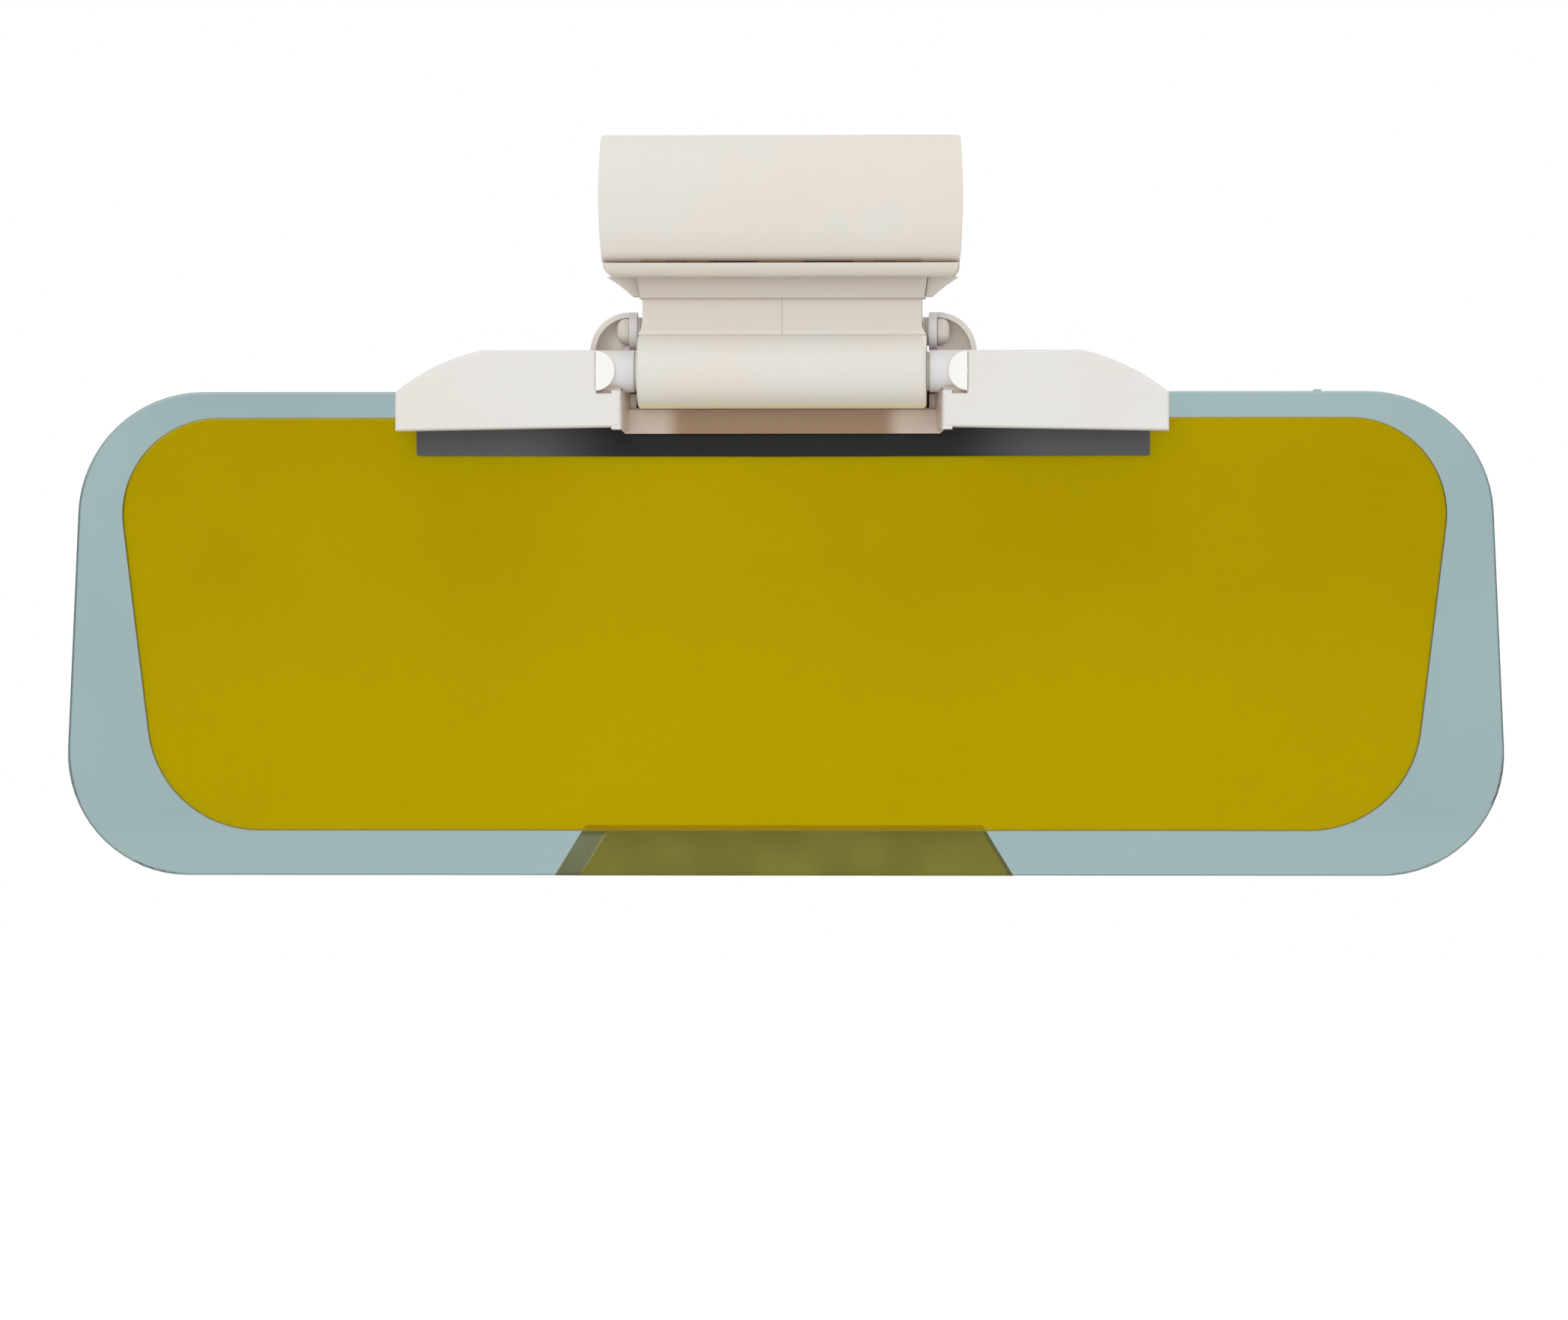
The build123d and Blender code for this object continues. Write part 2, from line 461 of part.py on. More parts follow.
gasket = front_slab(
    make_face(Polyline(
        (-BAR_HALF, GASKET_TOP_Z), (BAR_HALF, GASKET_TOP_Z), (BAR_HALF, GASKET_BOTTOM_Z),
        (0, GASKET_BOTTOM_Z - 0.2), (-BAR_HALF, GASKET_BOTTOM_Z), close=True,
    )),
    GASKET_Y, NIGHT_LENS_Y,
)
gasket = fillet(gasket.edges().filter_by(Axis.Y).group_by(Axis.Z)[1], 0.6)
PIPS = ((18.2, -17.1), (70.3, -14.6))
for x, z in PIPS:
    gasket += both_sides(peg(0.35, GASKET_Y - 0.25, GASKET_Y + 0.2, x, z))
save("night_lens_gasket", gasket)

BAR_TOP_Z, BAR_BOTTOM_Z = -7.6, -18.4
NIGHT_HEAD_SEAT = 0.9                             # depth of bar under a screw's head
night_rear = NIGHT_LENS_Y + LENS_THICK
night_bar = block((-BAR_HALF, BAR_HALF), (night_rear, night_rear + 2.0), (BAR_BOTTOM_Z, BAR_TOP_Z))
night_bar += block((-BAR_HALF, BAR_HALF), (WING_REAR_Y + 0.05, night_rear + 0.5),
                   (NIGHT_TOP_Z + 0.15, BAR_TOP_Z))
night_bar = fillet(night_bar.faces().sort_by(Axis.Y)[-1].edges(), 0.6)
for x in NIGHT_SCREW_X:
    night_bar -= both_sides(peg(1.05, 0, 20, x, NIGHT_SCREW_Z))
    night_bar -= both_sides(peg(NIGHT_POST_R, night_rear + NIGHT_HEAD_SEAT, 20, x, NIGHT_SCREW_Z))
save("night_clamp_bar", night_bar)
night_screw = screw(1.8, 1.1, 0.93, 7.0)
placed = [
    Pos(x, night_rear + NIGHT_HEAD_SEAT, NIGHT_SCREW_Z) * Rot(-90, 0, 0) * night_screw
    for x in NIGHT_SCREW_X
]
save("night_clamp_screws", *placed, *[flipped(s) for s in placed])


# ---- day lens holder ----
HUB_START, DISC_START, DISC_END = 31.7, 32.4, 34.2
PIPE_R, PIPE_WALL = 4.3, 1.2
TURN_R = 4.5                                      # the elbow's centreline radius
turn_z = DAY_Z - TURN_R
day_rear = DAY_LENS_Y + LENS_THICK
DAY_BAR_THICK = 3.0

half_pipe = Circle(PIPE_R) - Circle(PIPE_R - PIPE_WALL)
rear_half = half_pipe & (Pos(5, 0) * Rectangle(10, 20))
elbow_end = Plane.YZ.offset(DISC_END) * Pos(DAY_Y, DAY_Z) * rear_half
elbow = revolve(elbow_end, Axis((DISC_END, 0, turn_z), (0, 1, 0)), 90)
arm_half = half_pipe & (Pos(0, 5) * Rectangle(20, 10))
ARM_LOW_Z = 0.0
arm = extrude(Pos(DISC_END + TURN_R, DAY_Y, ARM_LOW_Z) * arm_half, turn_z - ARM_LOW_Z)
disc = rod(PIPE_R, DISC_START, DISC_END, DAY_Y, DAY_Z)
disc += rod(DAY_HUB_R, HUB_START, DISC_START + 0.5, DAY_Y, DAY_Z)
side = elbow + arm
side += disc
side += block((DISC_END, 43.0), (9.2, day_rear + DAY_BAR_THICK), (DAY_TOP_Z + 0.25, ARM_LOW_Z + 0.6))
side -= rod(DAY_SHAFT_R + RUNNING, HUB_START - 1, DISC_END + 1, DAY_Y, DAY_Z)
day_bar = front_slab(
    Pos(0, -8.8) * RectangleRounded(2 * BAR_HALF - 1, 18.4, 3.0), day_rear, day_rear + DAY_BAR_THICK)
day_bar = fillet(day_bar.faces().sort_by(Axis.Y)[-1].edges(), 0.8)
bar_panel = Pos(0, -9.0) * RectangleRounded(2 * BAR_HALF - 9, 12.0, 2.0)
day_bar -= front_slab(bar_panel, day_rear + 2.2, day_rear + 5)
for x in DAY_SCREW_X:
    day_bar += peg(3.4, day_rear + 0.5, day_rear + DAY_BAR_THICK - 0.3, x, DAY_SCREW_Z)
    day_bar -= peg(1.25, 0, 30, x, DAY_SCREW_Z)
save("day_holder", day_bar + both_sides(side))

# rounded caps pressed on to the shaft's ends, which keep the arms on
CAP_R, CAP_START, CAP_LENGTH, CAP_ROUND = 2.9, DISC_END + 0.15, 2.6, 1.9
shaft_cap = rod(CAP_R, CAP_START, CAP_START + CAP_LENGTH, DAY_Y, DAY_Z)
shaft_cap = fillet(shaft_cap.edges().sort_by(Axis.X)[-1], CAP_ROUND)
shaft_cap -= rod(DAY_SHAFT_R + 0.01, CAP_START - 1, DAY_SHAFT_HALF, DAY_Y, DAY_Z)
save("day_shaft_caps", shaft_cap, flipped(shaft_cap))

DAY_BAR_LOW, DAY_BAR_HIGH = -17.4, -4.8
day_gasket = front_slab(
    Pos(0, (DAY_BAR_LOW + DAY_BAR_HIGH) / 2) * RectangleRounded(160, DAY_BAR_HIGH - DAY_BAR_LOW, 2),
    DAY_LENS_Y - 0.6, DAY_LENS_Y,
)
day_clamp = front_slab(
    Pos(0, (DAY_BAR_LOW + DAY_BAR_HIGH) / 2) * RectangleRounded(158, DAY_BAR_HIGH - DAY_BAR_LOW - 1, 2),
    DAY_LENS_Y - 2.0, DAY_LENS_Y - 0.6,
)
for x in DAY_SCREW_X:
    day_gasket -= peg(1.6, 0, 20, x, DAY_SCREW_Z)
    day_clamp -= peg(1.22, DAY_LENS_Y - 1.8, 20, x, DAY_SCREW_Z)
save("day_lens_gasket", day_gasket)
save("day_clamp_bar", soften(day_clamp, 0.3))
day_screw = screw(2.4, 1.3, 1.18, 6.3)
save("day_clamp_screws", *[
    Pos(x, day_rear + DAY_BAR_THICK - 0.3, DAY_SCREW_Z) * Rot(-90, 0, 0) * day_screw for x in DAY_SCREW_X
])
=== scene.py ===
import json
import math

import bmesh
import bpy
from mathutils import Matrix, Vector


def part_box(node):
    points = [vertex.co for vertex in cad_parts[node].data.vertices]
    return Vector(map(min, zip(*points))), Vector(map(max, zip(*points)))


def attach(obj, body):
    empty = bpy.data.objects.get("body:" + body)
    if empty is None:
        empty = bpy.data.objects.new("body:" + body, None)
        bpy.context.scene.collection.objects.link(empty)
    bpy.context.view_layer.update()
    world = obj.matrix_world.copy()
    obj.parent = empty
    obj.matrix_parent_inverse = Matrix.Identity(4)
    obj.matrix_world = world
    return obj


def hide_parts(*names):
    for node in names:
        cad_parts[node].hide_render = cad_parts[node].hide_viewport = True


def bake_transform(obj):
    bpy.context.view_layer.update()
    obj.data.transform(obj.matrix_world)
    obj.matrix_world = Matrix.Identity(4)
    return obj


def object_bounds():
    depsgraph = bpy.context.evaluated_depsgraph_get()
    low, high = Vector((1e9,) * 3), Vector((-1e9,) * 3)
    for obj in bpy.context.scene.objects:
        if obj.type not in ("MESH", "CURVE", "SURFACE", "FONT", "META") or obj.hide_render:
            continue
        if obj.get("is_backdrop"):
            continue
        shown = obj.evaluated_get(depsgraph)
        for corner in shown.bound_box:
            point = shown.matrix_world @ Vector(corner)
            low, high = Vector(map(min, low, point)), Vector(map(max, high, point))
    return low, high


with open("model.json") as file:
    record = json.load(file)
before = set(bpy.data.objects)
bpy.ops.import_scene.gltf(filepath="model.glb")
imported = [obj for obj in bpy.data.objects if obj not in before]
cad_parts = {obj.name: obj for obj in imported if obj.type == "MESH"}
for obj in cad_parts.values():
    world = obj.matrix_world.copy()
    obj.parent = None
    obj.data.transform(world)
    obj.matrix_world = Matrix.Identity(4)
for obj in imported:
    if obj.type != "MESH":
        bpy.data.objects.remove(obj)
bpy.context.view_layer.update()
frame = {"nodes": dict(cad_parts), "record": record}
nodes = frame["nodes"]
mm = 0.001
print("frame loaded:", len(nodes), "parts")


# ---- shader helpers ----
def screenColour(red, green, blue):
    # a colour as a screen shows it, 0 to 255, made linear
    steps = [channel / 255 for channel in (red, green, blue)]
    linear = [s / 12.92 if s <= 0.04045 else ((s + 0.055) / 1.055) ** 2.4 for s in steps]
    return (*linear, 1.0)


class Wire:
    # wraps a socket, so that sums on it are written as plain Python
    def __init__(self, tree, socket=None):
        self.tree = tree
        self.socket = socket

    def node(self, kind, settings={}, values={}, output=0):
        made = self.tree.nodes.new(kind)
        for name, setting in settings.items():
            setattr(made, name, setting)
        for name, value in values.items():
            self.feed(made.inputs[name], value)
        return Wire(self.tree, made.outputs[output])

    def feed(self, socket, value):
        if isinstance(value, Wire):
            self.tree.links.new(value.socket, socket)
        else:
            socket.default_value = value

    def maths(self, operation, first, second=0.0):
        return self.node("ShaderNodeMath", {"operation": operation}, {0: first, 1: second})

    def __add__(self, other): return self.maths("ADD", self, other)
    def __radd__(self, other): return self.maths("ADD", other, self)
    def __sub__(self, other): return self.maths("SUBTRACT", self, other)
    def __rsub__(self, other): return self.maths("SUBTRACT", other, self)
    def __mul__(self, other): return self.maths("MULTIPLY", self, other)
    def __rmul__(self, other): return self.maths("MULTIPLY", other, self)
    def __abs__(self): return self.maths("ABSOLUTE", self)


class Finish(Wire):
    # one material: its tree, its shader, and the patterns that the finishes share
    def __init__(self, name, constants):
        self.material = bpy.data.materials.new(name)
        self.material.use_nodes = True
        super().__init__(self.material.node_tree)
        self.shader = self.tree.nodes["Principled BSDF"]
        for socket, value in constants.items():
            self.shader.inputs[socket].default_value = value
        self.place = self.node("ShaderNodeTexCoord", output=3)
        self.x = self.axis(0)
        self.y = self.axis(1)
        self.z = self.axis(2)

    def axis(self, index):
        return self.node("ShaderNodeSeparateXYZ", {}, {0: self.place}, index)

    def set(self, socket, value):
        self.feed(self.shader.inputs[socket], value)

    def stretched(self, scale):
        return self.node("ShaderNodeMapping", {}, {"Vector": self.place, "Scale": scale})

    def noise(self, size, detail=2.0, roughness=0.5, stretch=(1, 1, 1)):
        # size is how wide one blotch is, in metres
        where = self.stretched(stretch) if stretch != (1, 1, 1) else self.place
        return self.node(
            "ShaderNodeTexNoise", {},
            {"Vector": where, "Scale": 1 / size, "Detail": detail, "Roughness": roughness},
        )

    def between(self, value, low, high):
        # 0 below low, 1 above high, smooth in between
        return self.node(
            "ShaderNodeMapRange", {"interpolation_type": "SMOOTHSTEP"},
            {"Value": value, "From Min": low, "From Max": high},
        )

    def mix(self, factor, first, second):
        return self.node("ShaderNodeMix", {"data_type": "RGBA"}, {0: factor, 6: first, 7: second}, 2)

    def bump(self, height, distance):
        return self.node(
            "ShaderNodeBump", {}, {"Height": height, "Distance": distance, "Strength": 1.0})


# ---- camera, light and floor ----
cameraSetup = {
    "distance": 2.0,         # metres in front of the grey lens
    "azimuth": 2.0,          # degrees round towards +X
    "frameWidth": 0.3493,    # metres that the picture spans at the grey lens
    "aimDrop": 0.0602,       # the picture's centre, below the grey lens's top edge
    "sensor": 36.0,
}
studioSetup = {
    "backdrop": 1.0,         # what the camera sees, and what shows through the lenses
    "skyLight": 0.70,        # what lights the object from above, and from below
    "groundLight": 0.52,
    "mirroredSky": 0.9,      # what glossy faces mirror overhead, and all round
    "mirroredWalls": 0.03,
    "mirrorRise": (0.15, 0.8),   # how far upwards the one turns into the other
    "unmirrored": "frontLight",  # this soft box doesn't show in glossy faces
    "floorDrop": 0.12,       # the floor, below the lowest point of the object
    "floorRadius": 3.0,
    "floorColour": screenColour(226, 225, 223),
    "floorGlow": 0.75,       # a light table's glow, for the camera alone
    # name: place, size of the soft box, and the light it adds to a white face turned to it
    "softBoxes": {
        "keyLight": ((-0.9, -1.9, 1.0), 1.6, 0.22),
        "fillLight": ((1.7, -1.5, 0.1), 1.4, 0.12),
        "frontLight": ((-0.2, -1.9, -0.02), 0.45, 0.08),
        "backLight": ((0.9, 1.6, 1.0), 1.4, 0.30),
    },
}


def placeCamera(setup):
    low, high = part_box("day_lens")
    aim = Vector((0.0, low.y, high.z - setup["aimDrop"]))
    turn = math.radians(setup["azimuth"])
    camera = bpy.data.objects.new("viewCamera", bpy.data.cameras.new("viewCamera"))
    bpy.context.scene.collection.objects.link(camera)
    camera.location = aim + Vector((math.sin(turn), -math.cos(turn), 0.0)) * setup["distance"]
    camera.rotation_euler = (math.radians(90), 0.0, turn)
    camera.data.sensor_width = setup["sensor"]
    camera.data.lens = setup["sensor"] * setup["distance"] / setup["frameWidth"]
    camera.data.clip_end = 50.0
    bpy.context.scene.camera = camera


def rays(tree, name):
    # 1 for rays of one kind, such as the camera's own
    made = tree.nodes.new("ShaderNodeLightPath")
    return Wire(tree, made.outputs[name])


def seenRays(wire):
    # 1 for the camera's rays, also when they have passed through a lens
    return wire.maths("MAXIMUM", rays(wire.tree, "Is Camera Ray"), rays(wire.tree, "Is Transmission Ray"))


def lightStudio(setup):
    world = bpy.data.worlds.new("studioWorld")
    bpy.context.scene.world = world
    world.use_nodes = True
    tree = world.node_tree
    light = Wire(tree)
    upwards = light.node("ShaderNodeSeparateXYZ", {}, {0: light.node("ShaderNodeTexCoord")}, 2)
    sky = upwards * 0.5 + 0.5
    ambient = sky * (setup["skyLight"] - setup["groundLight"]) + setup["groundLight"]
    glossy = rays(tree, "Is Glossy Ray")
    overhead = light.node("ShaderNodeMapRange", {}, {
        "Value": upwards, "From Min": setup["mirrorRise"][0], "From Max": setup["mirrorRise"][1],
        "To Min": setup["mirroredWalls"], "To Max": setup["mirroredSky"],
    })
    lit = ambient * (1 - glossy) + glossy * overhead
    clear = seenRays(light)
    backdrop = tree.nodes["Background"]
    backdrop.inputs[0].default_value = (1.0, 1.0, 1.0, 1.0)
    light.feed(backdrop.inputs[1], lit * (1 - clear) + clear * setup["backdrop"])
    low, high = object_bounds()
    centre = (low + high) / 2
    for name, (place, size, share) in setup["softBoxes"].items():
        lamp = bpy.data.lights.new(name, "AREA")
        lamp.shape = "SQUARE"
        lamp.size = size
        toCentre = centre - Vector(place)
        lamp.energy = share * math.pi ** 2 * toCentre.length_squared
        box = bpy.data.objects.new(name, lamp)
        bpy.context.scene.collection.objects.link(box)
        box.location = place
        box.rotation_euler = toCentre.to_track_quat("-Z", "Y").to_euler()
        box.visible_camera = False
        box.visible_transmission = False
        box.visible_glossy = name != setup["unmirrored"]
    bpy.context.scene.view_settings.view_transform = "Standard"


def layFloor(setup):
    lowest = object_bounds()[0].z
    bpy.ops.object.select_all(action="DESELECT")
    bpy.ops.mesh.primitive_circle_add(
        vertices=128, radius=setup["floorRadius"], fill_type="NGON",
        location=(0, 0, lowest - setup["floorDrop"]),
    )
    floor = bpy.context.object
    floor.name = "studioFloor"
    paper = Finish("floorPaper", {"Roughness": 0.8, "Specular IOR Level": 0.1,
                                  "Emission Strength": setup["floorGlow"]})
    paper.set("Base Color", setup["floorColour"])
    paper.set("Emission Color", paper.mix(seenRays(paper), (0, 0, 0, 1), (1, 1, 1, 1)))
    floor.data.materials.append(paper.material)
    floor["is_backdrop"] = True


placeCamera(cameraSetup)
lightStudio(studioSetup)
layFloor(studioSetup)
print("camera, light and floor are in place")


# ---- moulded plastic ----
clipPlasticLook = {
    "cool": screenColour(232, 229, 222), "warm": screenColour(235, 226, 214),
    "creviceShade": screenColour(194, 170, 148),      # painted shade: the colour that deep corners fade to
    "cloudSize": 30 * mm, "roughness": 0.34, "grainDeep": 0.012 * mm, "depth": 0.06,
    "bellyReflection": screenColour(254, 242, 203),        # painted reflection: the lens's yellow on the barrel's underside
    "bellyReflectionDrop": (8.1 * mm, 6.4 * mm),           # below the hinge line: full, and gone
    "lower": screenColour(218, 209, 198),        # painted shade: the neck, the lip and the foot of the jaw are darkened
    "lowerShare": 0.55,
    "lowerStart": (8.3 * mm, 9.3 * mm),          # above the hinge line
    "lowerEnd": (22 * mm, 33 * mm),
}
# painted shade: a darker, warmer copy of the clip plastic for the collar, which sits in shade under the
# lip
shadedCollarLook = {
    **clipPlasticLook,
    "cool": screenColour(214, 207, 196), "warm": screenColour(211, 202, 190),
}
holderPlasticLook = {
    "cool": screenColour(236, 234, 231), "warm": screenColour(236, 231, 224),
    # painted shade: the colour that deep corners fade to
    "creviceShade": screenColour(196, 172, 150),
    "cloudSize": 40 * mm, "roughness": 0.36, "grainDeep": 0.012 * mm, "depth": 0.06,
    "collar": screenColour(232, 231, 233),       # the pivot bosses are a cooler shade
    "collarHalf": 36.6 * mm, "collarSoft": 0.3 * mm,
    "collarDrop": (6 * mm, 4 * mm),              # below the hinge line
    "nose": screenColour(255, 254, 252),         # painted highlight: the D-shaped tongues' front faces, brighter as they catch the light
    "noseFront": -5.05 * mm, "noseSoft": 0.1 * mm,
    "recessShadowMiddle": screenColour(158, 128, 103), "recessShadowEnds": screenColour(203, 186, 172),
    "recessHalf": 24 * mm,                       # painted shadow: the wall under the barrel is darker in the middle, where the barrel shades it
    "recessFade": (2 * mm, 3 * mm),              # inside and outside that half width
    "recessDrop": (8.5 * mm, 6.5 * mm),          # below the hinge line
    "recessSides": (35.0 * mm, 35.6 * mm),
    "recessRear": 3.6 * mm, "recessRearSoft": 0.2 * mm,
}
barPlasticLook = {
    "cool": screenColour(58, 59, 61), "warm": screenColour(66, 66, 66),
    # painted shade: the colour that deep corners fade to
    "creviceShade": screenColour(30, 30, 30),
    "cloudSize": 20 * mm, "roughness": 0.45, "grainDeep": 0.02 * mm, "depth": 0.0,
}
plasticSurface = {
    "ior": 1.5, "bleed": (0.004, 0.0022, 0.0012),
    "cloudLimits": (0.35, 0.7),
    "grainSize": 0.35 * mm, "grainRough": 0.06, "grainHigh": 0.4,
    "flowSize": 9 * mm, "flowStretch": (0.35, 1, 1.6), "flowRough": 0.10, "flowHigh": 1.2,
}
# painted shade in corners and recesses, read from an ambient occlusion node
creviceShadeSetup = {
    "reach": 13 * mm, "samples": 8, "limits": (0.25, 1.0), "share": 0.8,
    "hoodsLessShade": 0.5,                            # the painted shade stays lighter in the hoods beside the barrel
    "hoodRise": (4.4 * mm, 5.2 * mm), "hoodSides": (30.9 * mm, 31.2 * mm),
}
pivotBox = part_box("night_pivot_shaft")
pivotZ = (pivotBox[0].z + pivotBox[1].z) / 2     # the height of the yellow lens's hinge line


def satinPlastic(name, look):
    surface = plasticSurface
    finish = Finish(name, {"IOR": surface["ior"], "Subsurface Weight": look["depth"],
                           "Subsurface Radius": surface["bleed"], "Subsurface Scale": 1.0})
    clouds = finish.noise(look["cloudSize"], 3.0)
    colour = finish.mix(finish.between(clouds, *surface["cloudLimits"]), look["cool"], look["warm"])
    # painted reflection of the yellow lens on the barrel's underside
    if "bellyReflection" in look:
        full, gone = look["bellyReflectionDrop"]
        bellyReflection = 1 - finish.between(finish.z, pivotZ - full, pivotZ - gone)
        colour = finish.mix(bellyReflection, colour, look["bellyReflection"])
        # painted shade darkens the neck, the lip and the foot of the jaw
        lower = 1 - finish.between(finish.z, *[pivotZ + rise for rise in look["lowerEnd"]])
        lower = lower * finish.between(finish.z, *[pivotZ + rise for rise in look["lowerStart"]])
        colour = finish.mix(lower * look["lowerShare"], colour, look["lower"])
    # the holder's own boss colour, with its painted highlight and painted shadow
    if "collar" in look:
        colour = holderCollarAndPaintedLight(finish, colour, look)
    # painted shade: corners and recesses are coloured darker and warmer
    finish.set("Base Color", finish.mix(creviceShadeShare(finish), colour, look["creviceShade"]))
    grain = finish.noise(surface["grainSize"], 2.0, 0.6)
    flow = finish.noise(surface["flowSize"], 2.0, 0.5, surface["flowStretch"])
    finish.set(
        "Roughness", flow * surface["flowRough"] + grain * surface["grainRough"] + look["roughness"])
    height = grain * surface["grainHigh"] + flow * surface["flowHigh"]
    finish.set("Normal", finish.bump(height, look["grainDeep"]))
    return finish.material


def creviceShadeShare(finish):
    # painted shade: how shut in a place is, 0 in the open, 1 deep in a corner, where the colour is
    # darkened as shade
    setup = creviceShadeSetup
    openness = finish.node(
        "ShaderNodeAmbientOcclusion", {"samples": setup["samples"]}, {"Distance": setup["reach"]}, 1)
    hoods = finish.between(finish.z, *[pivotZ + rise for rise in setup["hoodRise"]])
    hoods = hoods * finish.between(abs(finish.x), *setup["hoodSides"])
    shut = finish.between(1 - openness, *setup["limits"])
    return shut * (setup["share"] - hoods * setup["hoodsLessShade"])


# the pivot bosses' own cooler colour, a painted highlight on the tongues, and the barrel's painted shadow
# on the wall below
def holderCollarAndPaintedLight(finish, colour, look):
    across = abs(finish.x)
    half, soft = look["collarHalf"], look["collarSoft"]
    collar = 1 - finish.between(across, half - soft, half + soft)
    bosses = finish.between(finish.z, *[pivotZ - drop for drop in look["collarDrop"]])
    colour = finish.mix(collar * bosses, colour, look["collar"])
    # painted highlight on the front faces of the D-shaped tongues
    edge, soft = look["noseFront"], look["noseSoft"]
    nose = 1 - finish.between(finish.y, edge - soft, edge + soft)
    colour = finish.mix(nose, colour, look["nose"])
    # painted shadow of the barrel on the wall under it, darkest in the middle
    under = 1 - finish.between(finish.z, *[pivotZ - drop for drop in look["recessDrop"]])
    half, (inwards, outwards) = look["recessHalf"], look["recessFade"]
    middle = 1 - finish.between(across, half - inwards, half + outwards)
    recessShadow = finish.mix(middle, look["recessShadowEnds"], look["recessShadowMiddle"])
    inside = 1 - finish.between(across, *look["recessSides"])
    rear = look["recessRear"]
    front = 1 - finish.between(finish.y, rear, rear + look["recessRearSoft"])
    return finish.mix(under * inside * front, colour, recessShadow)


# ---- tinted acrylic ----
dayTintLook = {
    "deep": screenColour(158, 180, 182), "bright": screenColour(166, 187, 188),
    # painted shade along the lens's edges
    "rim": screenColour(16, 22, 26),
    "clear": 1.0, "roughness": 0.02, "cloudSize": 60 * mm,
    "lens": "day_lens", "paleBelow": 6.0 * mm, "paleFades": 9.0 * mm,    # paler along its lower edge
    "pale": screenColour(164, 185, 186),
}
nightTintLook = {
    "deep": screenColour(234, 197, 0), "bright": screenColour(239, 203, 0),
    # painted shade along the lens's edges
    "rim": screenColour(44, 28, 0),
    "clear": 0.8, "roughness": 0.02, "cloudSize": 50 * mm,
    "lens": "night_lens", "paleBelow": 18 * mm, "paleFades": 45 * mm,
    "pale": screenColour(246, 210, 0),
}
tabTintLook = {
    "deep": screenColour(167, 153, 72), "bright": screenColour(181, 166, 80),
    # painted shade along the tab's edges
    "rim": screenColour(60, 54, 24),
    "clear": 0.8, "roughness": 0.05, "cloudSize": 12 * mm,
    # painted light on the bevel along the tab's left end
    "bevelLightColour": screenColour(130, 132, 96), "bevelShare": 0.75,
    "bevelWide": 5.4 * mm, "bevelSoft": 0.15 * mm,
    "endSlope": 6.9 / 11.25,                     # how far the tab's ends lean, for its height
}
acrylicSurface = {
    "ior": 1.49, "cloudLimits": (0.3, 0.7), "paleShare": 0.8,
    "rimLimits": (0.965, 0.9995),                # how squarely a face looks forwards: painted dark rim, and flat
    "rimShare": 0.55, "rimShareSides": 0.45,     # painted shade all round, and more on the left and right
    "scratchSize": 0.4 * mm, "scratchStretch": (0.06, 1, 1),
    "scratchLimits": (0.62, 0.8), "scratchRough": 0.02,
}


def tintedAcrylic(name, look, addDetail=None):
    surface = acrylicSurface
    finish = Finish(name, {"IOR": surface["ior"], "Transmission Weight": look["clear"]})
    clouds = finish.noise(look["cloudSize"], 3.0, 0.45)
    colour = finish.mix(finish.between(clouds, *surface["cloudLimits"]), look["deep"], look["bright"])
    if addDetail:
        colour = addDetail(finish, colour, look)
    normal = finish.node("ShaderNodeTexCoord", output=1)
    facing = abs(finish.node("ShaderNodeSeparateXYZ", {}, {0: normal}, 1))
    sideways = abs(finish.node("ShaderNodeSeparateXYZ", {}, {0: normal}, 0))
    # painted shade: faces turned away from the front darken to the rim colour, in place of the dark line
    # that light through the lens's edge gives
    edge = 1 - finish.between(facing, *surface["rimLimits"])
    rim = edge * (sideways * surface["rimShareSides"] + surface["rimShare"])
    finish.set("Base Color", finish.mix(rim, colour, look["rim"]))
    scratches = finish.noise(surface["scratchSize"], 3.0, 0.7, surface["scratchStretch"])
    worn = finish.between(scratches, *surface["scratchLimits"]) * surface["scratchRough"]
    finish.set("Roughness", worn + look["roughness"])
    return finish.material


def palerBelow(finish, colour, look):
    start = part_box(look["lens"])[0].z + look["paleBelow"]
    below = 1 - finish.between(finish.z, start, start + look["paleFades"])
    return finish.mix(below * acrylicSurface["paleShare"], colour, look["pale"])


def bevelPaintedLight(finish, colour, look):
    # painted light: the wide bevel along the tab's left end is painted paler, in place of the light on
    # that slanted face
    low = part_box("day_lens_finger_tab")[0]
    along = finish.x - low.x - (finish.z - low.z) * look["endSlope"]
    wide, soft = look["bevelWide"], look["bevelSoft"]
    band = 1 - finish.between(along, wide - soft, wide + soft)
    return finish.mix(band * look["bevelShare"], colour, look["bevelLightColour"])


# ---- rubber, nylon and steel ----
gasketShadedLook = {
    # dark rubber, with painted shade: darker in the middle, where the barrel shades it
    "middle": screenColour(21, 22, 21), "ends": screenColour(85, 86, 89),
    "fadeStart": 34 * mm, "fadeEnd": 60 * mm, "roughness": 0.45,
}
rubberSurface = {
    "ior": 1.45, "wornSize": 6 * mm, "patchSize": 1.2 * mm, "patchRough": 0.2,
    "grainSize": 0.25 * mm, "grainDeep": 0.02 * mm,
}
steelSurface = {
    "ringSize": 0.25 * mm, "ringStretch": (6, 1, 1), "ringRough": 0.2, "ringDeep": 0.004 * mm,
    "dullSize": 2 * mm,
}


